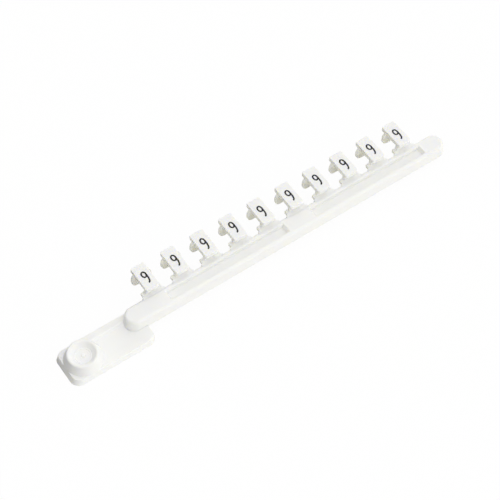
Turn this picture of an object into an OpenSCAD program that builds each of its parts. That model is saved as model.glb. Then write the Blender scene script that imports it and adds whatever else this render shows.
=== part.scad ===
// Moulded terminal marker strip: a slender carrier bar with two top recesses, a gripping tab
// with a dished sprue disc at one end, and a row of clip-in marker tags along one side.
// The strip runs along +X, the marker faces look up +Z, and the tags hang off the +Y side.

/* [Row of markers] */
// Number of marker tags along the bar
marker_count = 10; // [4:1:10]
// Centre distance between neighbouring tags
pitch = 9; // [8:0.5:10]
// Distance from the bar's plain end to the centre of the last tag
end_margin = 11.4; // [9.4:0.5:19.9]

/* [Carrier bar] */
// Length of the bar over its round ends, at its foot
bar_l = 103; // [103:0.2:120]
// Width of the bar at its foot
bar_w = 5.7; // [5:0.1:7]
// Height of the bar
bar_h = 3.95; // [3.4:0.05:5]
// Draft of the bar's sides in degrees
bar_draft = 2; // [0.5:0.5:4]
// Radius of the bar's top edges
bar_edge_r = 0.85; // [0.3:0.05:0.9]
// How far the foot of each round end stands out past its upright shape
bar_toe = 0.4; // [0.2:0.05:0.5]

/* [Bar recesses] */
// Length of each recess at the rim
recess_l = 37; // [20:0.5:40]
// Width of each recess at the rim
recess_w = 2.8; // [1.5:0.1:3]
// Depth of each recess
recess_d = 1.25; // [0.6:0.05:2]
// Length of the solid land between the two recesses
recess_gap = 8.4; // [4:0.2:10]
// Slope of a recess's end walls, as run over the full depth
recess_ramp = 0.5; // [0.1:0.05:1]

/* [Gripping tab] */
// Length of the tab
tab_l = 24.6; // [20.6:0.5:29.6]
// Width of the tab
tab_w = 10.8; // [10.6:0.1:14]
// Thickness of the tab
tab_t = 2; // [1.6:0.1:3]
// Corner radius of the tab seen from above
tab_corner_r = 2.6; // [1.5:0.1:4]
// Draft of the tab's edge in degrees
tab_draft = 8; // [1:1:12]
// Radius of the tab's top edges
tab_edge_r = 0.35; // [0.2:0.05:1]
// Height of the bar's foot above the tab's underside
bar_lift = 1.45; // [0.5:0.05:1.8]

/* [Sprue disc] */
// Radius of the disc at its foot
disc_foot_r = 5.15; // [4.85:0.05:5.15]
// Radius of the disc at its top
disc_top_r = 4.3; // [3.8:0.1:4.5]
// Height of the disc above the tab
disc_h = 2.65; // [2.4:0.05:3.5]
// Depth of the dish in the disc
dish_d = 1.9; // [0.8:0.05:2]
// Radius of the nib left in the middle of the dish
nib_r = 0.45; // [0.3:0.05:0.8]

/* [Marker tags] */
// Width of a tag's face
face_w = 4; // [3.6:0.1:4.6]
// Length of a tag's face
face_l = 7.9; // [7:0.1:9]
// Thickness of a tag's face plate
face_t = 1.4; // [1:0.05:1.6]
// Height of the faces above the tab's underside
face_z = 8.4; // [7.6:0.1:9]
// Corner radius at the bar end of the face
face_near_r = 0.6; // [0.3:0.05:1]
// Corner radius at the free end of the face
face_far_r = 0.3; // [0.2:0.05:0.6]
// Full width of the far clip lug at its barb
lug_w = 5.8; // [5.2:0.1:6]
// Thickness of a clip lug along the tag
lug_t = 0.9; // [0.7:0.05:1.2]

/* [Hidden] */
$fn = 48;

white = "#f2f2ee";

// The row frame has its origin under the middle of the part's outline.
overall_l = bar_l + 19;
tab_x0 = -overall_l / 2;
bar_x1 = overall_l / 2;
bar_x0 = bar_x1 - bar_l;
bar_z0 = bar_lift;
bar_z1 = bar_lift + bar_h;
bar_y = -1.6;
bar_far_y = bar_y + bar_w / 2;
tab_y0 = -8.8;
tab_y = tab_y0 + tab_w / 2;
disc_x = tab_x0 + 5.8;
face_y0 = 0.9;

// Half the width of the near clip lug, a little less than that of the far one
near_half = lug_w / 2 - 0.1;

// Points of an arc about c, from angle a0 to a1
function arc(c, r, a0, a1, n = 8) =
    [for (i = [0 : n]) let (a = a0 + (a1 - a0) * i / n) c + r * [cos(a), sin(a)]];

// Section w wide and h high. Its outer side leans in by the draft and runs tangent into a round
// top edge of radius r.
module edge_section(w, h, r, draft) {
    c = w - (r + (h - r) * sin(draft)) / cos(draft);
    intersection() {
        square([w, h]);
        union() {
            polygon([
                [0, 0],
                [w, 0],
                [c + r * cos(draft), h - r + r * sin(draft)],
                [c, h - r],
                [c, h],
                [0, h]
            ]);
            translate([c, h - r]) circle(r = r);
        }
    }
}

// Half of the bar's cross-section, right of its middle
module bar_half_section() {
    edge_section(bar_w / 2, bar_h, bar_edge_r, bar_draft);
}

module bar_section() {
    bar_half_section();
    mirror([1, 0]) bar_half_section();
}

// Toe of a round end about x: a cone that leans in from the foot and dies out in the upright
// wall just below the round top edge
module bar_toe_cone(x) {
    toe_h = bar_h - bar_edge_r;
    lean = tan(bar_draft) + bar_toe / (toe_h - 0.2);
    translate([x, bar_y, bar_z0])
        cylinder(r1 = bar_w / 2, r2 = bar_w / 2 - lean * toe_h, h = toe_h);
}

// Bar body: the section drawn out along X and turned through half a circle at each end
module bar_body() {
    r_end = bar_w / 2;
    straight_l = bar_l - bar_w - 2 * bar_toe;
    translate([bar_x0 + r_end + bar_toe, bar_y, bar_z0]) {
        rotate([90, 0, 90]) linear_extrude(straight_l) bar_section();
        rotate([0, 0, 90]) rotate_extrude(angle = 180) bar_half_section();
        translate([straight_l, 0, 0])
            rotate([0, 0, -90]) rotate_extrude(angle = 180) bar_half_section();
    }
    bar_toe_cone(bar_x0 + r_end);
    bar_toe_cone(bar_x1 - r_end);
}

// One recess: upright long walls and sloping end walls, starting at x
module bar_recess(x) {
    translate([x, bar_y - 0.15 + recess_w / 2, bar_z1])
        rotate([90, 0, 0])
            linear_extrude(recess_w)
                polygon([
                    [recess_ramp, -recess_d],
                    [recess_l - recess_ramp, -recess_d],
                    [recess_l, 0],
                    [recess_l, 1],
                    [0, 1],
                    [0, 0]
                ]);
}

module carrier_bar() {
    recess_x1 = bar_x1 - 7.35;
    difference() {
        bar_body();
        bar_recess(recess_x1 - recess_l);
        bar_recess(recess_x1 - 2 * recess_l - recess_gap);
    }
}

// Flat slab centred on the origin, with round corners in plan and a drafted edge all round
module soft_slab(l, w, h, corner_r, edge_r, draft) {
    in_l = l - 2 * corner_r;
    in_w = w - 2 * corner_r;
    translate([-in_l / 2, -in_w / 2, 0]) cube([in_l, in_w, h]);
    for (a = [0, 180]) {
        rotate([0, 0, a]) translate([-in_l / 2, in_w / 2, 0])
            rotate([90, 0, 90]) linear_extrude(in_l) edge_section(corner_r, h, edge_r, draft);
        rotate([0, 0, a + 90]) translate([-in_w / 2, in_l / 2, 0])
            rotate([90, 0, 90]) linear_extrude(in_w) edge_section(corner_r, h, edge_r, draft);
    }
    for (c = [[1, 1, 0], [-1, 1, 90], [-1, -1, 180], [1, -1, 270]])
        translate([c[0] * in_l / 2, c[1] * in_w / 2, 0])
            rotate([0, 0, c[2]])
                rotate_extrude(angle = 90) edge_section(corner_r, h, edge_r, draft);
}

// Low runner ridge along the tab's far edge, from the disc into the bar's round end. Its near
// side runs down to the tab in an S of two arcs, which meet at a slope of 60 degrees.
module runner_ridge() {
    ridge_h = 0.7;
    brow = 0.5;
    fillet = 0.9;
    far = bar_far_y + 0.35;
    foot = far - 2.85;
    top_y = foot + (brow + fillet) * sin(60);
    translate([disc_x, 0, tab_t])
        rotate([90, 0, 90])
            linear_extrude(bar_x0 + bar_w / 2 - disc_x)
                polygon(concat(
                    [[far, -0.4]],
                    arc([far - 0.25, ridge_h - 0.25], 0.25, 0, 90, 4),
                    arc([top_y, ridge_h - brow], brow, 90, 150, 5),
                    arc([foot, fillet], fillet, -30, -90, 6),
                    [[foot, -0.4]]
                ));
}

// Round disc with a flared foot and a thin rolled rim. Its dish slopes evenly down to a low ring
// round a flat floor, which holds a broken-off nib.
module sprue_disc() {
    root = 0.3;
    flare = 0.8;
    rim_r = 0.22;
    floor_z = root + disc_h - dish_d;
    translate([disc_x, tab_y, tab_t - root])
        rotate_extrude($fn = 96)
            polygon(concat(
                [[0, 0], [disc_foot_r, 0], [disc_foot_r, root]],
                arc([disc_foot_r + 0.1, root + flare], flare, 262, 200, 5),
                arc([disc_top_r - rim_r, root + disc_h - rim_r], rim_r, 10, 90, 4),
                arc([disc_top_r - 2 * rim_r, root + disc_h - rim_r], rim_r, 90, 140, 3),
                arc([2.3, floor_z + 0.3], 0.3, 322, 270, 3),
                arc([2.12, floor_z], 0.14, 0, 180, 6),
                [[1.98, floor_z - 0.1], [nib_r + 0.2, floor_z - 0.1]],
                [[nib_r, floor_z + 0.05], [nib_r * 0.85, floor_z + 0.45]],
                [[nib_r * 0.4, floor_z + 0.6], [0, floor_z + 0.6]]
            ));
}

module gripping_tab() {
    translate([tab_x0 + tab_l / 2, tab_y, 0])
        soft_slab(tab_l, tab_w, tab_t, tab_corner_r, tab_edge_r, tab_draft);
    runner_ridge();
    sprue_disc();
}

// Outline of a face plate, free end at +Y
module face_outline() {
    n = face_near_r;
    f = face_far_r;
    h = face_w / 2;
    polygon(concat(
        arc([-h + n, n], n, 180, 270, 6),
        arc([h - n, n], n, 270, 360, 6),
        arc([h - f, face_l - f], f, 0, 90, 4),
        arc([-h + f, face_l - f], f, 90, 180, 4)
    ));
}

// Clip lug under the free end: a blade across the tag, stepped out to a barb and round below
module far_lug() {
    z_barb = face_z - 3.6;
    half = lug_w / 2;
    r = 1.5;
    translate([0, face_l - 1.3, 0])
        rotate([90, 0, 0])
            linear_extrude(lug_t)
                polygon(concat(
                    [[-2.1, face_z - face_t / 2], [-2.15, z_barb + 2.5]],
                    [[-half + 0.3, z_barb + 2.05], [-half + 0.05, z_barb + 1.2]],
                    arc([-half + r, z_barb], r, 180, 262, 7),
                    arc([half - r, z_barb], r, -82, 0, 7),
                    [[half - 0.05, z_barb + 1.2], [half - 0.3, z_barb + 2.05]],
                    [[2.15, z_barb + 2.5], [2.1, face_z - face_t / 2]]
                ));
}

// Clip lug under the bar end: a neck that widens at a flat shoulder level with the bar's top
module near_lug() {
    z_shoulder = bar_z1 - 0.05;
    z_low = face_z - 5;
    translate([0, 2, 0])
        rotate([90, 0, 0])
            linear_extrude(lug_t + 0.1)
                polygon([
                    [-1.75, face_z - face_t / 2],
                    [-1.75, z_shoulder],
                    [-near_half, z_shoulder],
                    [-near_half + 0.05, z_shoulder - 0.7],
                    [-near_half + 0.5, z_low + 0.4],
                    [-near_half + 0.9, z_low],
                    [near_half - 0.9, z_low],
                    [near_half - 0.5, z_low + 0.4],
                    [near_half - 0.05, z_shoulder - 0.7],
                    [near_half, z_shoulder],
                    [1.75, z_shoulder],
                    [1.75, face_z - face_t / 2]
                ]);
}

// Fan gate that joins the near lug to the bar, filleted out along the bar's edge
module fan_gate() {
    foot = bar_far_y - face_y0;
    fillet = 0.55;
    half = near_half;
    translate([0, 0, bar_z1 - 1.1])
        linear_extrude(1.05)
            polygon(concat(
                [[-half - fillet, foot - 0.7]],
                arc([-half - fillet, foot + fillet], fillet, 270, 360, 5),
                [[-half, 2], [half, 2]],
                arc([half + fillet, foot + fillet], fillet, 180, 270, 5),
                [[half + fillet, foot - 0.7]]
            ));
}

// One tag: face plate, two clip lugs and the gate
module marker_tag() {
    translate([0, 0, face_z - face_t]) linear_extrude(face_t) face_outline();
    far_lug();
    near_lug();
    fan_gate();
}

// The whole strip is moulded in one shot, so it is one solid
module marker_strip() {
    color(white) {
        carrier_bar();
        gripping_tab();
        for (i = [0 : marker_count - 1])
            translate([bar_x1 - end_margin - i * pitch, face_y0, 0]) marker_tag();
    }
}

marker_strip();
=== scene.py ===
"""Terminal marker strip: one white polyamide moulding with ten clip-in marker tags.

Sizes are in millimetres in the row frame of the CAD part, and meshes are turned to metres when
they are finished. +X runs along the carrier bar, the tags hang off +Y and their faces look up +Z.
"""

import logging
import math
from dataclasses import dataclass, field
from enum import Enum
from typing import Any, Iterable, Sequence

import bmesh
import bpy
from mathutils import Matrix, Vector


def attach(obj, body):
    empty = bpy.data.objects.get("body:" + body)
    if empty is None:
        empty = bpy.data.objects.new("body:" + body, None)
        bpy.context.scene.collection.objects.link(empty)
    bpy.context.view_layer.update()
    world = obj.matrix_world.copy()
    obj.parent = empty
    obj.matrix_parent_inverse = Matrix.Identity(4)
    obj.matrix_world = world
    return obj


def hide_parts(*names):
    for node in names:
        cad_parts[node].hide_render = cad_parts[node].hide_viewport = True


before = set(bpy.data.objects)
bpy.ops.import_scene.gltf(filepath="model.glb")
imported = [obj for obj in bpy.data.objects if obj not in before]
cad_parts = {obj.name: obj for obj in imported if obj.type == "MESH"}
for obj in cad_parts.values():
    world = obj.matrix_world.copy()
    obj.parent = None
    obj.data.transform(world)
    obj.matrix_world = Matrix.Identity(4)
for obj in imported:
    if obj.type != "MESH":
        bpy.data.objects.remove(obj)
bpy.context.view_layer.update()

MM = 0.001
WHITE = (1.0, 1.0, 1.0, 1.0)
# Points of a mesh nearer together than this, in millimetres, are made one.
MERGE_MM = 1e-5
# Edges that turn by more than the first are rounded off on a prism, and those that turn by more
# than the second are shaded as sharp on a finished piece.
ROUND_ANGLE = math.radians(28)
SHARP_ANGLE = math.radians(34)
# Steps of a quarter turn, for the rounds at the rim and the root of a recess.
QUARTER_TURN = [math.radians(degrees) for degrees in (0, 30, 60, 90)]
# Sockets of a colour mix: the share of the second colour, the two colours, and the result.
MIX_SHARE, MIX_FIRST, MIX_SECOND, MIX_RESULT = 0, 6, 7, 2
CAD_NODE = "marker_strip"
BODY = "root"

log = logging.getLogger("marker_strip")

Point2 = tuple[float, float]
Ring = list[Vector]


class Corner(Enum):
    """The four corners of a plan outline, by the angle at which the corner's arc starts."""

    FAR_RIGHT = 0
    FAR_LEFT = 90
    NEAR_LEFT = 180
    NEAR_RIGHT = 270


class Solver(Enum):
    """Whether a solid is joined to its partner, or kept only where it lies inside it."""

    JOIN = "UNION"
    KEEP = "INTERSECT"


# Outlines and meshes


def arc(centre: Point2, radius: float, start: float, end: float, steps: int) -> list[Point2]:
    """Points of an arc in a plane.

    Args:
        centre: Middle of the arc.
        radius: Radius of the arc.
        start: First angle in degrees.
        end: Last angle in degrees.
        steps: Number of chords.

    Returns:
        The points from start to end, both included.
    """
    return ellipse_arc(centre, (radius, radius), start, end, steps)


def ellipse_arc(
    centre: Point2, radii: Point2, start: float, end: float, steps: int
) -> list[Point2]:
    """Points of an elliptic arc in a plane.

    Args:
        centre: Middle of the ellipse.
        radii: Half axes along the first and the second direction.
        start: First angle in degrees.
        end: Last angle in degrees.
        steps: Number of chords.

    Returns:
        The points from start to end, both included.
    """
    spread = [math.radians(start + (end - start) * i / steps) for i in range(steps + 1)]
    return [
        (centre[0] + radii[0] * math.cos(a), centre[1] + radii[1] * math.sin(a)) for a in spread
    ]


def drafted_edge(height: float, radius: float, draft: float, steps: int) -> list[Point2]:
    """Round top edge of a wall that leans in by its draft and runs tangent into the round.

    Args:
        height: Height of the wall.
        radius: Radius of the top edge.
        draft: Lean of the wall in degrees.
        steps: Number of chords in the round.

    Returns:
        For each point how far it lies in from the wall's foot, and its height.
    """
    lean = math.radians(draft)
    reach = (radius + (height - radius) * math.sin(lean)) / math.cos(lean)
    return [
        (reach - u, height - radius + v) for u, v in arc((0, 0), radius, draft, 90, steps)
    ]


def soft_plan(
    low: Point2, high: Point2, radii: dict[Corner, float], inset: float, z: float, steps: int
) -> Ring:
    """Rectangle with round corners, pulled in by an inset about the same corner centres.

    Args:
        low: Corner with the smallest coordinates.
        high: Corner with the largest coordinates.
        radii: Radius of each corner before the inset.
        inset: How far the outline is pulled in.
        z: Height of the ring.
        steps: Number of chords in each corner.

    Returns:
        The closed ring, counter-clockwise seen from above.
    """
    ends = {
        Corner.FAR_RIGHT: (high[0], high[1], -1, -1),
        Corner.FAR_LEFT: (low[0], high[1], 1, -1),
        Corner.NEAR_LEFT: (low[0], low[1], 1, 1),
        Corner.NEAR_RIGHT: (high[0], low[1], -1, 1),
    }
    ring: Ring = []
    for corner, (x, y, towards_x, towards_y) in ends.items():
        radius = radii[corner]
        centre = (x + towards_x * radius, y + towards_y * radius)
        start = corner.value
        ring += [
            Vector((px, py, z)) for px, py in arc(centre, radius - inset, start, start + 90, steps)
        ]
    return ring


def loft(bm: bmesh.types.BMesh, rings: Sequence[Ring]) -> list[list[bmesh.types.BMVert]]:
    """Joins rings of equal count with quads.

    Args:
        bm: Mesh that receives the faces.
        rings: Rings in order, each closed.

    Returns:
        The vertices of each ring.
    """
    loops = [[bm.verts.new(point) for point in ring] for ring in rings]
    for lower, upper in zip(loops, loops[1:]):
        count = len(lower)
        for i in range(count):
            j = (i + 1) % count
            bm.faces.new((lower[i], lower[j], upper[j], upper[i]))
    return loops


def ring_edges(bm: bmesh.types.BMesh, loop: Sequence[bmesh.types.BMVert]) -> list[Any]:
    """The edges round a closed loop of vertices."""
    return [bm.edges.get((a, b)) for a, b in zip(loop, list(loop[1:]) + [loop[0]])]


def mirrored(left: Sequence[Point2]) -> list[Point2]:
    """Whole outline made of its left half and the mirror image of that half."""
    return [*left, *((-u, v) for u, v in reversed(left))]


def prism(
    outline: Sequence[Point2], depth: float, soften: float, place: Matrix
) -> bpy.types.Object:
    """Solid drawn out from a flat outline, with its hard edges softened.

    Args:
        outline: Points of the outline, counter-clockwise.
        depth: How far the outline is drawn out along its normal.
        soften: Width of the round on every hard edge.
        place: Matrix from the outline's own axes to the row frame, in millimetres.

    Returns:
        The solid, still in millimetres.
    """
    bm = bmesh.new()
    low, high = loft(bm, [[Vector((u, v, w)) for u, v in outline] for w in (0, depth)])
    bm.faces.new(list(reversed(low)))
    bm.faces.new(high)
    bmesh.ops.recalc_face_normals(bm, faces=bm.faces[:])
    hard = [e for e in bm.edges if e.calc_face_angle(0.0) > ROUND_ANGLE]
    if soften:
        bmesh.ops.bevel(
            bm,
            geom=hard,
            offset=soften,
            segments=3,
            profile=0.5,
            affect="EDGES",
            clamp_overlap=True,
        )
    bmesh.ops.transform(bm, matrix=place, verts=bm.verts[:])
    return rough_object(bm, "prism")


def rough_object(bm: bmesh.types.BMesh, name: str) -> bpy.types.Object:
    """Puts a mesh under work into the scene.

    Args:
        bm: The mesh, which is freed.
        name: Name of the object.

    Returns:
        The object, still in millimetres.
    """
    bmesh.ops.remove_doubles(bm, verts=bm.verts[:], dist=MERGE_MM)
    bmesh.ops.recalc_face_normals(bm, faces=bm.faces[:])
    mesh = bpy.data.meshes.new(name)
    bm.to_mesh(mesh)
    bm.free()
    made = bpy.data.objects.new(name, mesh)
    bpy.context.scene.collection.objects.link(made)
    return made


def combine(base: bpy.types.Object, parts: Iterable[bpy.types.Object], how: Solver) -> None:
    """Joins solids to a base solid, or keeps the base only inside them, and deletes them.

    Args:
        base: Solid that is changed.
        parts: Closed solids, taken one after another.
        how: Whether the parts are joined on or bound what is kept.
    """
    for part in parts:
        modifier = base.modifiers.new("combine", "BOOLEAN")
        modifier.operation = how.value
        modifier.solver = "EXACT"
        modifier.object = part
        settle(base)
        bpy.data.objects.remove(part)


def settle(thing: bpy.types.Object) -> None:
    """Turns what the modifiers make into the object's own plain mesh.

    Args:
        thing: Object whose modifiers are used up.
    """
    graph = bpy.context.evaluated_depsgraph_get()
    mesh = bpy.data.meshes.new_from_object(thing.evaluated_get(graph))
    thing.modifiers.clear()
    thing.data = mesh


def finish_mesh(thing: bpy.types.Object, finish: bpy.types.Material) -> None:
    """Smooths the shading of a finished piece and gives it its material.

    Args:
        thing: Object in metres, at the origin.
        finish: Material for all its faces.
    """
    mesh = thing.data
    mesh.polygons.foreach_set("use_smooth", [True] * len(mesh.polygons))
    mesh.set_sharp_from_angle(angle=SHARP_ANGLE)
    weighted = thing.modifiers.new("weighted", "WEIGHTED_NORMAL")
    weighted.keep_sharp = True
    weighted.weight = 100
    settle(thing)
    thing.data.materials.clear()
    thing.data.materials.append(finish)
    thing.data.name = thing.name


def to_metres(thing: bpy.types.Object, name: str) -> bpy.types.Object:
    """Scales a solid's mesh from millimetres to metres and names it.

    Args:
        thing: Solid in millimetres.
        name: Name that the finished piece keeps.

    Returns:
        The same object.
    """
    thing.data.transform(Matrix.Scale(MM, 4))
    thing.name = name
    return thing


def add_node(
    tree: bpy.types.NodeTree, kind: str, links: dict[Any, Any] | None = None, **settings: Any
) -> bpy.types.Node:
    """Adds a node with its settings, its fixed inputs and its links.

    Args:
        tree: Tree that receives the node.
        kind: Blender's name for the kind of node.
        links: For each input, by name or number, the socket or the value that feeds it.
        **settings: Properties of the node itself.

    Returns:
        The node.
    """
    made = tree.nodes.new(kind)
    for key, value in settings.items():
        setattr(made, key, value)
    for key, value in (links or {}).items():
        if isinstance(value, bpy.types.NodeSocket):
            tree.links.new(value, made.inputs[key])
        else:
            made.inputs[key].default_value = value
    return made


def linear(code: str) -> tuple[float, float, float, float]:
    """Linear colour of an sRGB hex code.

    Args:
        code: Six hex digits.

    Returns:
        Linear red, green and blue with full alpha.
    """
    parts = [int(code[i : i + 2], 16) / 255 for i in (0, 2, 4)]
    bright = [c / 12.92 if c <= 0.04045 else ((c + 0.055) / 1.055) ** 2.4 for c in parts]
    return bright[0], bright[1], bright[2], 1.0


def repeats(size_mm: float) -> float:
    """Scale of a noise whose features are about a size in millimetres."""
    return 1 / (size_mm * MM)


def blank_material(name: str) -> tuple[bpy.types.Material, bpy.types.NodeTree]:
    """Makes a material with no nodes in it.

    Args:
        name: Name of the material.

    Returns:
        The material and its empty tree.
    """
    made = bpy.data.materials.new(name)
    made.use_nodes = True
    made.node_tree.nodes.clear()
    return made, made.node_tree


# Finishes


@dataclass(frozen=True)
class MouldedPolyamide:
    """White polyamide 66, injection moulded in a finely eroded steel mould.

    The walls let light in for a millimetre or so, which rounds the shading off and warms the thin
    tags, and the mould leaves a satin skin with a faint grain and soft flow marks.
    """

    name: str = "white polyamide, injection moulded"
    body: str = "FAFAF7"
    flow: str = "F7F7F3"
    glow: float = 0.5
    glow_mm: float = 0.5
    glow_tint: tuple[float, float, float] = (1.0, 0.93, 0.68)
    satin: tuple[float, float] = (0.38, 0.5)
    # Real erosion grain is near 0.03 mm, too fine to show, so it is drawn at a quarter millimetre.
    grain_mm: float = 0.26
    flow_mm: float = 14.0
    ripple_mm: float = 5.0
    # The flow marks are drawn out along the bar, the way that the melt ran.
    flow_stretch: tuple[float, float, float] = (0.35, 1.0, 1.0)
    # Strength of each bump, and its depth in millimetres.
    ripple_bump: tuple[float, float] = (0.12, 0.4)
    grain_bump: tuple[float, float] = (0.1, 0.05)
    ior: float = 1.53

    def make(self) -> bpy.types.Material:
        """Builds the material.

        Returns:
            The procedural material, read from object coordinates.
        """
        made, tree = blank_material(self.name)
        place = add_node(tree, "ShaderNodeTexCoord").outputs["Object"]
        stretched = add_node(
            tree, "ShaderNodeMapping", {"Vector": place, "Scale": self.flow_stretch}
        ).outputs["Vector"]
        flow = add_node(
            tree,
            "ShaderNodeTexNoise",
            {"Vector": stretched, "Scale": repeats(self.flow_mm), "Detail": 3.0},
        ).outputs["Fac"]
        colour = add_node(
            tree,
            "ShaderNodeMix",
            {MIX_SHARE: flow, MIX_FIRST: linear(self.body), MIX_SECOND: linear(self.flow)},
            data_type="RGBA",
        ).outputs[MIX_RESULT]
        grain = add_node(
            tree,
            "ShaderNodeTexNoise",
            {"Vector": place, "Scale": repeats(self.grain_mm), "Detail": 2.0},
        ).outputs["Fac"]
        ripple = add_node(
            tree,
            "ShaderNodeTexNoise",
            {"Vector": place, "Scale": repeats(self.ripple_mm), "Detail": 1.0},
        ).outputs["Fac"]
        satin = add_node(
            tree,
            "ShaderNodeMapRange",
            {"Value": grain, "To Min": self.satin[0], "To Max": self.satin[1]},
        ).outputs[0]
        strength, depth = self.ripple_bump
        waves = add_node(
            tree, "ShaderNodeBump", {"Height": ripple, "Strength": strength, "Distance": depth * MM}
        ).outputs[0]
        strength, depth = self.grain_bump
        skin = add_node(
            tree,
            "ShaderNodeBump",
            {"Height": grain, "Strength": strength, "Distance": depth * MM, "Normal": waves},
        ).outputs[0]
        shader = add_node(
            tree,
            "ShaderNodeBsdfPrincipled",
            {
                "Base Color": colour,
                "Roughness": satin,
                "Normal": skin,
                "IOR": self.ior,
                "Subsurface Weight": self.glow,
                "Subsurface Radius": self.glow_tint,
                "Subsurface Scale": self.glow_mm * MM,
            },
        ).outputs[0]
        add_node(tree, "ShaderNodeOutputMaterial", {"Surface": shader})
        return made


@dataclass(frozen=True)
class PrintedInk:
    """Black two-part ink, pad printed: dense and matt, a little thinner where the pad lifted."""

    name: str = "black ink, pad printed"
    dense: str = "0A0A0B"
    thin: str = "18181A"
    patch_mm: float = 0.5
    matt: tuple[float, float] = (0.5, 0.62)
    ior: float = 1.5

    def make(self) -> bpy.types.Material:
        """Builds the material.

        Returns:
            The procedural material, read from object coordinates.
        """
        made, tree = blank_material(self.name)
        place = add_node(tree, "ShaderNodeTexCoord").outputs["Object"]
        patch = add_node(
            tree,
            "ShaderNodeTexNoise",
            {"Vector": place, "Scale": repeats(self.patch_mm), "Detail": 2.0},
        ).outputs["Fac"]
        colour = add_node(
            tree,
            "ShaderNodeMix",
            {MIX_SHARE: patch, MIX_FIRST: linear(self.dense), MIX_SECOND: linear(self.thin)},
            data_type="RGBA",
        ).outputs[MIX_RESULT]
        rough = add_node(
            tree,
            "ShaderNodeMapRange",
            {"Value": patch, "To Min": self.matt[0], "To Max": self.matt[1]},
        ).outputs[0]
        shader = add_node(
            tree,
            "ShaderNodeBsdfPrincipled",
            {"Base Color": colour, "Roughness": rough, "IOR": self.ior},
        ).outputs[0]
        add_node(tree, "ShaderNodeOutputMaterial", {"Surface": shader})
        return made


@dataclass(frozen=True)
class StudioPaper:
    """White paper that reads as pure white to the eye and still takes the strip's soft shadow.

    To the light it is pale paper that glows a little of itself, a painted light as if it were lit
    from beneath, whitest along the strip's near side, which throws light up against the walls that
    face the camera. Past the tab it is dark grey, so the end walls stay dark.
    """

    name: str = "white paper sweep"
    dark_end: str = "505050"
    paper: str = "D2D0BC"
    card: str = "FAFAF8"
    # Where along x the dark end gives way to the paper, and how that border slants with y.
    end_x: tuple[float, float] = (-64.0, -52.0)
    end_slant: float = -0.7
    # Where along y the whitest strip begins, and where it is at its full white.
    card_y: tuple[float, float] = (-1.0, -8.0)
    # Share of its own colour that the paper gives off as painted light, as if it were lit
    # from beneath.
    lift: float = 0.12
    # Strength of the white that is seen, and how far it covers the shadow.
    glow: float = 1.0
    wash: float = 0.95

    def make(self) -> bpy.types.Material:
        """Builds the material.

        Returns:
            The material, bright to camera, mirror and glass rays and plain paper to the rest.
        """
        made, tree = blank_material(self.name)
        rays = add_node(tree, "ShaderNodeLightPath").outputs
        seen = add_node(
            tree,
            "ShaderNodeMath",
            {0: rays["Is Camera Ray"], 1: rays["Is Glossy Ray"]},
            operation="MAXIMUM",
        ).outputs[0]
        seen = add_node(
            tree,
            "ShaderNodeMath",
            {0: seen, 1: rays["Is Transmission Ray"]},
            operation="MAXIMUM",
        ).outputs[0]
        place = add_node(tree, "ShaderNodeTexCoord").outputs["Object"]
        axes = add_node(tree, "ShaderNodeSeparateXYZ", {0: place}).outputs
        slant = add_node(
            tree,
            "ShaderNodeVectorMath",
            {0: place, 1: (1.0, self.end_slant, 0.0)},
            operation="DOT_PRODUCT",
        ).outputs["Value"]
        past_end, on_card = [
            add_node(
                tree,
                "ShaderNodeMapRange",
                {"Value": way, "From Min": edge[0] * MM, "From Max": edge[1] * MM},
                interpolation_type="SMOOTHSTEP",
            ).outputs[0]
            for way, edge in ((slant, self.end_x), (axes["Y"], self.card_y))
        ]
        pale = add_node(
            tree,
            "ShaderNodeMix",
            {MIX_SHARE: on_card, MIX_FIRST: linear(self.paper), MIX_SECOND: linear(self.card)},
            data_type="RGBA",
        ).outputs[MIX_RESULT]
        colour = add_node(
            tree,
            "ShaderNodeMix",
            {MIX_SHARE: past_end, MIX_FIRST: linear(self.dark_end), MIX_SECOND: pale},
            data_type="RGBA",
        ).outputs[MIX_RESULT]
        paper = add_node(tree, "ShaderNodeBsdfDiffuse", {"Color": colour}).outputs[0]
        # Painted light: the paper glows in its own colour, except past the tab.
        beneath = add_node(
            tree, "ShaderNodeMath", {0: past_end, 1: self.lift}, operation="MULTIPLY"
        ).outputs[0]
        lifted = add_node(
            tree, "ShaderNodeEmission", {"Color": colour, "Strength": beneath}
        ).outputs[0]
        paper = add_node(tree, "ShaderNodeAddShader", {0: paper, 1: lifted}).outputs[0]
        bright = add_node(
            tree, "ShaderNodeEmission", {"Color": WHITE, "Strength": self.glow}
        ).outputs[0]
        shaded = add_node(tree, "ShaderNodeBsdfDiffuse", {"Color": WHITE}).outputs[0]
        shown = add_node(
            tree, "ShaderNodeMixShader", {0: self.wash, 1: shaded, 2: bright}
        ).outputs[0]
        mixed = add_node(tree, "ShaderNodeMixShader", {0: seen, 1: paper, 2: shown}).outputs[0]
        add_node(tree, "ShaderNodeOutputMaterial", {"Surface": mixed})
        return made


# Sub-assemblies


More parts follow.
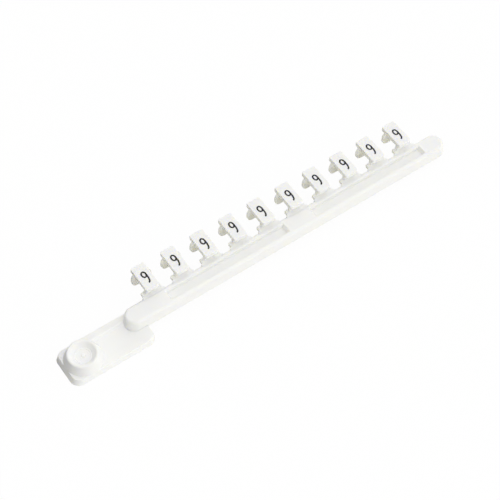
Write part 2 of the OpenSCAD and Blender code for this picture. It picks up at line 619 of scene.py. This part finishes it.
@dataclass
class CarrierBar:
    """The slender bar with round ends, drafted sides and two long recesses in its top."""

    x0: float = -42.0
    x1: float = 61.0
    y: float = -1.6
    z0: float = 1.45
    width: float = 5.7
    height: float = 3.95
    draft: float = 2.0
    edge_r: float = 0.85
    foot_r: float = 0.15
    toe: float = 0.4
    toe_h: float = 2.9
    recess_y: float = -1.75
    recess_x: tuple[float, ...] = (-28.75, 16.65)
    recess_l: float = 37.0
    recess_w: float = 2.8
    recess_d: float = 1.25
    recess_ramp: float = 0.5
    # How far each long wall of a recess leans in for a millimetre of depth.
    recess_lean: float = 0.03
    # Radius of a recess's corners in plan, and the least that the root's round leaves of it.
    recess_corner_r: float = 0.14
    least_corner_r: float = 0.04
    rim_r: float = 0.22
    root_r: float = 0.12
    end_steps: int = 28

    def stadium(self, inset: float, z: float) -> Ring:
        """Ring of the bar's plan, pulled in by an inset, with the toe that the height calls for.

        Args:
            inset: How far the outline is pulled in from the foot's width.
            z: Height above the bar's foot.

        Returns:
            The closed ring, counter-clockwise seen from above.
        """
        half = self.width / 2
        radius = half - inset
        lean_in = self.toe * min(z / self.toe_h, 1.0)
        right = arc((self.x1 - half - lean_in, self.y), radius, -90, 90, self.end_steps)
        left = arc((self.x0 + half + lean_in, self.y), radius, 90, 270, self.end_steps)
        return [Vector((x, y, self.z0 + z)) for x, y in right + left]

    def recess_ring(self, x: float, grow: float, depth: float) -> Ring:
        """Ring of one recess's outline at a depth.

        Args:
            x: Left end of the recess at the rim.
            grow: How far the outline is let out, as for the round of the rim.
            depth: Depth below the bar's top.

        Returns:
            The closed ring, counter-clockwise seen from above.
        """
        slope = self.recess_ramp * depth / self.recess_d
        half = self.recess_w / 2 - self.recess_lean * depth
        radius = max(self.recess_corner_r + grow, self.least_corner_r)
        low = (x + slope - grow, self.recess_y - half - grow)
        high = (x + self.recess_l - slope + grow, self.recess_y + half + grow)
        radii = {corner: radius for corner in Corner}
        return soft_plan(low, high, radii, 0.0, self.z0 + self.height - depth, 4)

    def recess_walls(self, x: float) -> list[Ring]:
        """Rings of one recess, over its round rim and down to the round root at its floor.

        Args:
            x: Left end of the recess at the rim.

        Returns:
            The rings from the bar's top down to the recess's floor.
        """
        rings = []
        for turn in QUARTER_TURN:
            out, down = 1 - math.sin(turn), 1 - math.cos(turn)
            rings.append(self.recess_ring(x, self.rim_r * out, self.rim_r * down))
        for turn in QUARTER_TURN:
            into, up = 1 - math.cos(turn), 1 - math.sin(turn)
            rings.append(self.recess_ring(x, -self.root_r * into, self.recess_d - self.root_r * up))
        return rings

    def build(self) -> bpy.types.Object:
        """Builds the bar as one closed skin.

        Returns:
            The bar in metres.
        """
        bm = bmesh.new()
        lean = math.tan(math.radians(self.draft))
        side = [
            (self.foot_r - u, self.foot_r + v) for u, v in arc((0, 0), self.foot_r, 270, 360, 3)
        ]
        side += [(v * lean, v) for v in (self.toe_h / 2, self.toe_h)]
        side += drafted_edge(self.height, self.edge_r, self.draft, 10)
        loops = loft(bm, [self.stadium(inset, z) for inset, z in side])
        bm.faces.new(list(reversed(loops[0])))
        rims = ring_edges(bm, loops[-1])
        for x in self.recess_x:
            walls = loft(bm, self.recess_walls(x))
            rims += ring_edges(bm, walls[0])
            bm.faces.new(walls[-1])
        bmesh.ops.triangle_fill(bm, edges=rims, use_beauty=True, normal=(0, 0, 1))
        return to_metres(rough_object(bm, "carrier_bar"), "carrier_bar")


@dataclass
class GrippingTab:
    """The flat tab at the bar's end, with its drafted edge, runner ridge and dished sprue disc."""

    low: Point2 = (-61.0, -8.8)
    high: Point2 = (-36.4, 2.0)
    thick: float = 2.0
    corner_r: float = 2.6
    far_left_r: float = 2.0
    draft: float = 8.0
    end_lean: float = 0.42
    edge_r: float = 0.2
    foot_r: float = 0.1
    plan_steps: int = 14
    ridge_far: float = 1.6
    ridge_w: float = 2.85
    ridge_h: float = 0.7
    ridge_edge_r: float = 0.25
    ridge_brow: float = 0.5
    ridge_fillet: float = 0.9
    # Slope in degrees where the two arcs of the S meet, and the angle at which the lower one ends.
    ridge_slope: float = 60.0
    ridge_toe: float = -86.0
    ridge_end: float = -39.15
    # How deep the ridge and the disc stand in the tab.
    ridge_sink: float = 0.4
    disc_sink: float = 0.3
    disc: Point2 = (-55.2, -3.4)
    disc_foot_r: float = 5.2
    disc_draft: float = 23.6
    disc_h: float = 2.65
    disc_steps: int = 96
    # The disc is trimmed to the tab's plan, drawn in by this much. The block that does it spans
    # these heights, counted from the tab's top.
    disc_trim: float = 0.25
    trim_z: tuple[float, float] = (-1.0, 4.0)
    rim_r: float = 3.72
    # Radius of the rim's outer and of its inner round.
    rim_round: tuple[float, float] = (0.5, 0.7)
    dish_slope: float = 46.0
    dish_d: float = 1.16
    dish_r: float = 2.3
    # Radius of the round at the dish's foot and of the ring's top, and how far its middle is set
    # in or down.
    bead_r: float = 0.12
    bead_set: float = 0.05
    ring_r: float = 2.0
    ring_half_w: float = 0.16
    # How far the floor inside the ring lies below the floor outside it.
    well_d: float = 0.06
    nib_r: float = 0.5
    nib_h: float = 0.5
    nib_flare: float = 0.1
    # The nib's side, as a share of its radius and a height over the dish's floor.
    nib_side: tuple[Point2, ...] = ((1.0, 0.05), (0.9, 0.35), (0.6, 0.48))

    def outline(self, inset: float, z: float) -> Ring:
        """Ring of the tab's plan, whose left end leans in further than its long sides.

        Args:
            inset: How far the outline is pulled in from the foot.
            z: Height of the ring.

        Returns:
            The closed ring, counter-clockwise seen from above.
        """
        radii = {corner: self.corner_r for corner in Corner} | {Corner.FAR_LEFT: self.far_left_r}
        low = (self.low[0] + self.end_lean * min(z / self.thick, 1.0), self.low[1])
        return soft_plan(low, self.high, radii, inset, z, self.plan_steps)

    def block(self, sides: Sequence[Point2]) -> bpy.types.Object:
        """Closed solid on the tab's plan.

        Args:
            sides: Inset and height of each ring, from the lowest to the highest.

        Returns:
            The solid in millimetres.
        """
        bm = bmesh.new()
        loops = loft(bm, [self.outline(inset, z) for inset, z in sides])
        bm.faces.new(list(reversed(loops[0])))
        bm.faces.new(loops[-1])
        return rough_object(bm, "block")

    def slab(self) -> bpy.types.Object:
        """The tab's plate with round corners in plan and a drafted, rounded edge.

        Returns:
            The plate in millimetres.
        """
        foot = [
            (self.foot_r - u, self.foot_r + v) for u, v in arc((0, 0), self.foot_r, 270, 350, 3)
        ]
        return self.block(foot + drafted_edge(self.thick, self.edge_r, self.draft, 8))

    def ridge(self) -> bpy.types.Object:
        """The low runner ridge along the tab's far edge, running down to the tab in an S.

        Returns:
            The ridge in millimetres.
        """
        foot = self.ridge_far - self.ridge_w
        top = self.thick + self.ridge_h
        low = self.thick - self.ridge_sink
        edge, brow, fillet = self.ridge_edge_r, self.ridge_brow, self.ridge_fillet
        brow_y = foot + (brow + fillet) * math.sin(math.radians(self.ridge_slope))
        slope = self.ridge_slope
        outline = [
            (self.ridge_far, low),
            *arc((self.ridge_far - edge, top - edge), edge, 0, 90, 6),
            *arc((brow_y, top - brow), brow, 90, 90 + slope, 8),
            *arc((foot, self.thick + fillet), fillet, slope - 90, self.ridge_toe, 9),
            (foot, low),
        ]
        start = self.disc[0]
        place = Matrix(((0, 0, 1, start), (1, 0, 0, 0), (0, 1, 0, 0), (0, 0, 0, 1)))
        return prism(outline, self.ridge_end - start, 0.0, place)

    def sprue_disc(self) -> bpy.types.Object:
        """The round disc: coned wall, rolled rim, sloped dish, low ring and broken-off nib.

        Returns:
            The disc in millimetres, trimmed to the tab's plan.
        """
        top = self.thick + self.disc_h
        floor = top - self.dish_d
        well = floor - self.well_d
        outer, inner = self.rim_round
        bead, back = self.bead_r, self.bead_set
        profile = [
            (self.disc_foot_r, self.thick - self.disc_sink),
            (self.disc_foot_r, self.thick),
            *arc((self.rim_r, top - outer), outer, self.disc_draft, 90, 8),
            *arc((self.rim_r, top - inner), inner, 96, 180 - self.dish_slope, 5),
            *arc((self.dish_r - back, floor + bead), bead, 270 + self.dish_slope, 270, 3),
            *arc((self.ring_r, floor - back), bead, 25, 155, 5),
            (self.ring_r - self.ring_half_w, well),
            (self.nib_r + self.nib_flare, well),
            *((self.nib_r * share, floor + height) for share, height in self.nib_side),
        ]
        x, y = self.disc
        turns = [2 * math.pi * i / self.disc_steps for i in range(self.disc_steps)]
        bm = bmesh.new()
        rings = [
            [Vector((x + r * math.cos(turn), y + r * math.sin(turn), z)) for turn in turns]
            for r, z in profile
        ]
        loops = loft(bm, rings)
        bm.faces.new(list(reversed(loops[0])))
        tip = bm.verts.new((x, y, floor + self.nib_h))
        crown = loops[-1]
        for a, b in zip(crown, crown[1:] + crown[:1]):
            bm.faces.new((a, b, tip))
        disc = rough_object(bm, "disc")
        trim = self.block([(self.disc_trim, self.thick + z) for z in self.trim_z])
        combine(disc, [trim], Solver.KEEP)
        return disc

    def build(self) -> bpy.types.Object:
        """Builds the tab with its ridge and disc as one closed skin.

        Returns:
            The tab in metres.
        """
        base = self.slab()
        combine(base, [self.ridge(), self.sprue_disc()], Solver.JOIN)
        return to_metres(base, "gripping_tab")


@dataclass
class MarkerTag:
    """One clip-in tag: face plate, two clip lugs and the gate to the bar.

    Its own x is measured from the tag's middle and its y from the face's near edge.
    """

    face_w: float = 4.0
    face_l: float = 7.9
    face_t: float = 1.4
    face_z: float = 8.385
    near_r: float = 0.6
    far_r: float = 0.3
    edge_r: float = 0.12
    under_r: float = 0.06
    soften: float = 0.1
    # Width and thickness of the far lug, and how far it stands in from the face's free end.
    far_lug_w: float = 5.8
    far_lug_t: float = 0.9
    far_lug_in: float = 1.3
    # The blade: its half width in the plate and at its foot, and how far its foot lies over the
    # barb.
    blade_half: tuple[float, float] = (2.1, 2.15)
    blade_h: float = 2.5
    # The barb: its height, the radius of its corners below, and the step above it, as distances
    # in from the lug's side and up from the barb.
    barb_z: float = 4.8
    barb_r: float = 1.5
    barb_step: tuple[Point2, ...] = ((0.3, 2.05), (0.05, 1.2))
    # Width and thickness of the near lug, the y of its far side, and the height of its foot.
    near_lug_w: float = 5.6
    near_lug_t: float = 1.0
    near_lug_y: float = 2.0
    near_lug_z: float = 3.4
    neck_half: float = 1.75
    # Points in from the near lug's side: one so far below its shoulder, two so far over its foot.
    shoulder_side: Point2 = (0.05, 0.7)
    near_foot: tuple[Point2, ...] = ((0.5, 0.4), (0.9, 0.0))
    bar_top: float = 5.4
    shoulder_drop: float = 0.05
    gate_foot: float = 0.35
    gate_fillet: float = 0.55
    # How deep the gate stands in the bar, the y at which it ends in the near lug, its height, and
    # how far its underside lies below the bar's top.
    gate_sink: float = 0.7
    gate_end: float = 1.9
    gate_h: float = 1.05
    gate_drop: float = 1.1

    def upright(self, y: float) -> Matrix:
        """Matrix that stands an (x, z) outline up so that it is drawn out towards the bar."""
        return Matrix(((1, 0, 0, 0), (0, 0, -1, y), (0, 1, 0, 0), (0, 0, 0, 1)))

    def plate(self) -> bpy.types.Object:
        """The face plate with soft edges, rounder at the corners next to the bar.

        Returns:
            The plate in millimetres.
        """
        half = self.face_w / 2
        radii = {
            Corner.FAR_RIGHT: self.far_r,
            Corner.FAR_LEFT: self.far_r,
            Corner.NEAR_LEFT: self.near_r,
            Corner.NEAR_RIGHT: self.near_r,
        }
        under = self.under_r
        edges = [
            (under - u, self.face_z - self.face_t + under + v)
            for u, v in arc((0, 0), under, 270, 360, 2)
        ]
        edges += [
            (self.edge_r - u, self.face_z - self.edge_r + v)
            for u, v in arc((0, 0), self.edge_r, 0, 90, 4)
        ]
        bm = bmesh.new()
        rings = [soft_plan((-half, 0), (half, self.face_l), radii, i, z, 5) for i, z in edges]
        loops = loft(bm, rings)
        bm.faces.new(list(reversed(loops[0])))
        bm.faces.new(loops[-1])
        return rough_object(bm, "plate")

    def far_lug(self) -> bpy.types.Object:
        """The clip lug under the free end: a blade stepped out to a barb and round below.

        Returns:
            The lug in millimetres.
        """
        half = self.far_lug_w / 2
        root_half, step_half = self.blade_half
        left = [
            (-root_half, self.face_z - self.face_t / 2),
            (-step_half, self.barb_z + self.blade_h),
            *((-half + inward, self.barb_z + up) for inward, up in self.barb_step),
            *arc((-half + self.barb_r, self.barb_z), self.barb_r, 180, 262, 9),
        ]
        place = self.upright(self.face_l - self.far_lug_in)
        return prism(mirrored(left), self.far_lug_t, self.soften, place)

    def near_lug(self) -> bpy.types.Object:
        """The clip lug at the bar: a neck that widens at a flat shoulder level with the bar.

        Returns:
            The lug in millimetres.
        """
        half = self.near_lug_w / 2
        shoulder = self.bar_top - self.shoulder_drop
        inward, down = self.shoulder_side
        left = [
            (-self.neck_half, self.face_z - self.face_t / 2),
            (-self.neck_half, shoulder),
            (-half, shoulder),
            (-half + inward, shoulder - down),
            *((-half + inward, self.near_lug_z + up) for inward, up in self.near_foot),
        ]
        place = self.upright(self.near_lug_y)
        return prism(mirrored(left), self.near_lug_t, self.soften, place)

    def gate(self) -> bpy.types.Object:
        """The fan gate that runs from the near lug into the bar's far side.

        Returns:
            The gate in millimetres.
        """
        half = self.near_lug_w / 2
        fillet = self.gate_fillet
        foot = self.gate_foot
        outline = [
            (-half - fillet, foot - self.gate_sink),
            (half + fillet, foot - self.gate_sink),
            *arc((half + fillet, foot + fillet), fillet, 270, 180, 6),
            (half, self.gate_end),
            (-half, self.gate_end),
            *arc((-half - fillet, foot + fillet), fillet, 360, 270, 6),
        ]
        place = Matrix.Translation((0, 0, self.bar_top - self.gate_drop))
        return prism(outline, self.gate_h, 0.0, place)

    def build(self) -> bpy.types.Object:
        """Builds the pattern tag about its own axes.

        Returns:
            The tag in metres, to be repeated along the bar.
        """
        base = self.plate()
        combine(base, [self.far_lug(), self.near_lug(), self.gate()], Solver.JOIN)
        return to_metres(base, "tag_pattern")


@dataclass
class PrintedNine:
    """A plain figure nine, the same on every tag, laid on the face as a thin film of ink."""

    middle: float = -0.02
    low: float = 1.6
    high: float = 5.55
    half_w: float = 0.79
    stroke: float = 0.43
    bowl_h: float = 2.15
    bowl_steps: int = 40
    # How far the tail's top stands over the bowl's middle, and how far below it the next point of
    # the tail and the start of its bend lie.
    tail_top: float = 0.1
    tail_joint: float = 0.6
    bend_drop: float = 0.95
    # Angle in degrees at which the bend ends, and the tip's place from the bend's lowest point.
    bend_end: float = -82.0
    tail_tip: Point2 = (-0.12, -0.01)
    z: float = 8.375
    film: float = 0.025

    def ribbon(self, path: Sequence[Point2], closed: bool) -> bpy.types.Object:
        """Flat stroke along a path.

        Args:
            path: Middle line of the stroke.
            closed: Whether the stroke runs round to its start.

        Returns:
            The closed film in millimetres.
        """
        bm = bmesh.new()
        rows = []
        count = len(path)
        for i, (x, y) in enumerate(path):
            before = path[(i - 1) % count] if closed or i > 0 else path[i]
            after = path[(i + 1) % count] if closed or i < count - 1 else path[i]
            along = Vector((after[0] - before[0], after[1] - before[1])).normalized()
            side = Vector((-along.y, along.x)) * self.stroke / 2
            rows.append(
                [
                    bm.verts.new((x + k * side.x, y + k * side.y, z))
                    for k, z in (
                        (-1, self.z),
                        (1, self.z),
                        (1, self.z + self.film),
                        (-1, self.z + self.film),
                    )
                ]
            )
        pairs = list(zip(rows, rows[1:] + rows[:1])) if closed else list(zip(rows, rows[1:]))
        for a, b in pairs:
            for k in range(4):
                m = (k + 1) % 4
                bm.faces.new((a[k], a[m], b[m], b[k]))
        if not closed:
            bm.faces.new(list(reversed(rows[0])))
            bm.faces.new(rows[-1])
        return rough_object(bm, "stroke")

    def build(self) -> bpy.types.Object:
        """Builds the figure about the tag's own axes.

        Returns:
            The film of ink in metres, to be repeated along the bar.
        """
        reach = self.half_w - self.stroke / 2
        tall = self.bowl_h / 2 - self.stroke / 2
        x, y = self.middle, self.high - self.bowl_h / 2
        steps = self.bowl_steps
        bowl = ellipse_arc((x, y), (reach, tall), 0, 360 - 360 / steps, steps - 1)
        foot = self.low + self.stroke / 2
        bend = y - self.bend_drop
        tail = [
            (x + reach, y + self.tail_top),
            (x + reach, y - self.tail_joint),
            *ellipse_arc((x, bend), (reach, bend - foot), 0, self.bend_end, 12),
            (x + self.tail_tip[0], foot + self.tail_tip[1]),
        ]
        base = self.ribbon(bowl, True)
        combine(base, [self.ribbon(tail, False)], Solver.JOIN)
        return to_metres(base, "nine_pattern")


@dataclass
class BarRow:
    """Geometry Nodes that repeat a pattern along the bar and realise it as one mesh."""

    count: int = 10
    pitch: float = 9.0
    first_x: float = -31.4
    face_y: float = 0.9
    tree_name: str = "row along the bar"
    made: list[bpy.types.NodeTree] = field(default_factory=list)

    def tree(self) -> bpy.types.NodeTree:
        """The tree, built the first time that it is asked for.

        Returns:
            A tree with the inputs Pattern, Count, Pitch, First and Finish.
        """
        if self.made:
            return self.made[0]
        tree = bpy.data.node_groups.new(self.tree_name, "GeometryNodeTree")
        sockets = tree.interface
        for label, kind in (
            ("Pattern", "NodeSocketObject"),
            ("Count", "NodeSocketInt"),
            ("Pitch", "NodeSocketVector"),
            ("First", "NodeSocketVector"),
            ("Finish", "NodeSocketMaterial"),
        ):
            sockets.new_socket(label, in_out="INPUT", socket_type=kind)
        sockets.new_socket("Geometry", in_out="OUTPUT", socket_type="NodeSocketGeometry")
        given = add_node(tree, "NodeGroupInput").outputs
        line = add_node(
            tree,
            "GeometryNodeMeshLine",
            {"Count": given["Count"], "Start Location": given["First"], "Offset": given["Pitch"]},
            mode="OFFSET",
        ).outputs[0]
        pattern = add_node(
            tree, "GeometryNodeObjectInfo", {"Object": given["Pattern"]}
        ).outputs["Geometry"]
        placed = add_node(
            tree, "GeometryNodeInstanceOnPoints", {"Points": line, "Instance": pattern}
        ).outputs[0]
        real = add_node(tree, "GeometryNodeRealizeInstances", {"Geometry": placed}).outputs[0]
        dressed = add_node(
            tree, "GeometryNodeSetMaterial", {"Geometry": real, "Material": given["Finish"]}
        ).outputs[0]
        add_node(tree, "NodeGroupOutput", {"Geometry": dressed})
        self.made.append(tree)
        return tree

    def repeat(
        self, pattern: bpy.types.Object, finish: bpy.types.Material, name: str
    ) -> bpy.types.Object:
        """Repeats a pattern along the bar.

        Args:
            pattern: Object in metres about the tag's own axes, which is deleted.
            finish: Material of the row.
            name: Name of the finished piece.

        Returns:
            One plain mesh that holds the whole row.
        """
        tree = self.tree()
        row = bpy.data.objects.new(name, bpy.data.meshes.new(name))
        bpy.context.scene.collection.objects.link(row)
        modifier = row.modifiers.new("row", "NODES")
        modifier.node_group = tree
        values = {
            "Pattern": pattern,
            "Count": self.count,
            "Pitch": (self.pitch * MM, 0.0, 0.0),
            "First": (self.first_x * MM, self.face_y * MM, 0.0),
            "Finish": finish,
        }
        for item in tree.interface.items_tree:
            if item.in_out == "INPUT":
                modifier[item.identifier] = values[item.name]
        settle(row)
        bpy.data.objects.remove(pattern)
        return row


@dataclass
class MarkerStrip:
    """The whole moulding with the figures printed on it."""

    bar: CarrierBar = field(default_factory=CarrierBar)
    tab: GrippingTab = field(default_factory=GrippingTab)
    tag: MarkerTag = field(default_factory=MarkerTag)
    figure: PrintedNine = field(default_factory=PrintedNine)
    row: BarRow = field(default_factory=BarRow)

    def dress(self, piece: bpy.types.Object, finish: bpy.types.Material) -> None:
        """Finishes a piece and ties it to the frame.

        Args:
            piece: Finished shape in metres.
            finish: Material of the piece.
        """
        finish_mesh(piece, finish)
        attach(piece, BODY)
        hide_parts(CAD_NODE)
        log.info("%s: %d faces", piece.name, len(piece.data.polygons))

    def build(self) -> None:
        """Builds every piece in order, from the bar to the printed figures."""
        white = MouldedPolyamide().make()
        ink = PrintedInk().make()
        self.dress(self.bar.build(), white)
        self.dress(self.tab.build(), white)
        self.dress(self.row.repeat(self.tag.build(), white, "marker_tags"), white)
        self.dress(self.row.repeat(self.figure.build(), ink, "printed_nines"), ink)


# Studio


@dataclass
class SoftBox:
    """A square lamp that looks at the middle of the strip, placed and sized in metres."""

    name: str
    place: tuple[float, float, float]
    size: float
    watts: float
    tint: str = "FFFFFF"

    def build(self) -> None:
        """Hangs the lamp and turns it to the strip."""
        data = bpy.data.lights.new(self.name, "AREA")
        data.shape = "SQUARE"
        data.size = self.size
        data.energy = self.watts
        data.color = linear(self.tint)[:3]
        lamp = bpy.data.objects.new(self.name, data)
        lamp.location = self.place
        lamp.rotation_euler = (-Vector(self.place)).to_track_quat("-Z", "Y").to_euler()
        bpy.context.scene.collection.objects.link(lamp)


@dataclass
class Studio:
    """White sweep, a soft lamp and the camera at the photograph's viewing angle.

    Its angles are in degrees, its places and lengths in metres and its lens in millimetres.
    """

    azimuth: float = -34.6
    elevation: float = 56.7
    distance: float = 0.3606
    look_at: tuple[float, float, float] = (-0.00486, -0.00379, 0.0084)
    lens: float = 100.8
    # Strength of the tent on its dim and on its bright side, the way to the bright side, the
    # cosines to that way between which it brightens, and the colour of the dim side.
    tent: tuple[float, float] = (0.02, 1.045)
    tent_side: tuple[float, float, float] = (0.55, -0.2, 0.81)
    tent_ramp: tuple[float, float] = (-0.35, 0.4)
    tent_dim: str = "FFFBF0"
    floor_half: float = 3.0
    lamps: tuple[SoftBox, ...] = (SoftBox("key", (0.1, -0.62, 0.45), 0.5, 0.25),)

    def camera(self) -> None:
        """Sets the camera up."""
        data = bpy.data.cameras.new("camera")
        data.sensor_fit = "HORIZONTAL"
        data.sensor_width = 36.0
        data.lens = self.lens
        data.clip_start = 0.01
        data.clip_end = 20.0
        made = bpy.data.objects.new("camera", data)
        az, el = math.radians(self.azimuth), math.radians(self.elevation)
        back = Vector(
            (math.sin(az) * math.cos(el), -math.cos(az) * math.cos(el), math.sin(el))
        )
        made.location = Vector(self.look_at) + back * self.distance
        made.rotation_euler = back.to_track_quat("Z", "Y").to_euler()
        bpy.context.scene.collection.objects.link(made)
        bpy.context.scene.camera = made

    def world(self) -> None:
        """Light tent that is dimmer on one side, and full white where it is seen directly."""
        made = bpy.data.worlds.new("studio")
        made.use_nodes = True
        tree = made.node_tree
        tree.nodes.clear()
        towards = add_node(tree, "ShaderNodeTexCoord").outputs["Generated"]
        side = Vector(self.tent_side).normalized()
        facing = add_node(
            tree, "ShaderNodeVectorMath", {0: towards, 1: side}, operation="DOT_PRODUCT"
        ).outputs["Value"]
        share = add_node(
            tree,
            "ShaderNodeMapRange",
            {"Value": facing, "From Min": self.tent_ramp[0], "From Max": self.tent_ramp[1]},
            interpolation_type="SMOOTHSTEP",
        ).outputs[0]
        colour = add_node(
            tree,
            "ShaderNodeMix",
            {MIX_SHARE: share, MIX_FIRST: linear(self.tent_dim), MIX_SECOND: WHITE},
            data_type="RGBA",
        ).outputs[MIX_RESULT]
        level = add_node(
            tree,
            "ShaderNodeMapRange",
            {"Value": share, "To Min": self.tent[0], "To Max": self.tent[1]},
        ).outputs[0]
        tent = add_node(
            tree, "ShaderNodeBackground", {"Color": colour, "Strength": level}
        ).outputs[0]
        plain = add_node(
            tree, "ShaderNodeBackground", {"Color": WHITE, "Strength": 1.0}
        ).outputs[0]
        seen = add_node(tree, "ShaderNodeLightPath").outputs["Is Camera Ray"]
        sky = add_node(tree, "ShaderNodeMixShader", {0: seen, 1: tent, 2: plain}).outputs[0]
        add_node(tree, "ShaderNodeOutputWorld", {"Surface": sky})
        bpy.context.scene.world = made

    def floor(self) -> None:
        """The paper that the strip lies on."""
        bm = bmesh.new()
        bmesh.ops.create_grid(bm, x_segments=4, y_segments=4, size=self.floor_half)
        mesh = bpy.data.meshes.new("paper")
        bm.to_mesh(mesh)
        bm.free()
        paper = bpy.data.objects.new("paper", mesh)
        mesh.materials.append(StudioPaper().make())
        bpy.context.scene.collection.objects.link(paper)

    def build(self) -> None:
        """Builds the stage, the lamps and the camera."""
        self.camera()
        self.world()
        self.floor()
        for lamp in self.lamps:
            lamp.build()
        bpy.context.scene.view_settings.view_transform = "Standard"


def main() -> None:
    """Builds the strip and its studio."""
    logging.basicConfig(level=logging.INFO, format="%(name)s: %(message)s")
    Studio().build()
    MarkerStrip().build()


if __name__ == "__main__":
    main()
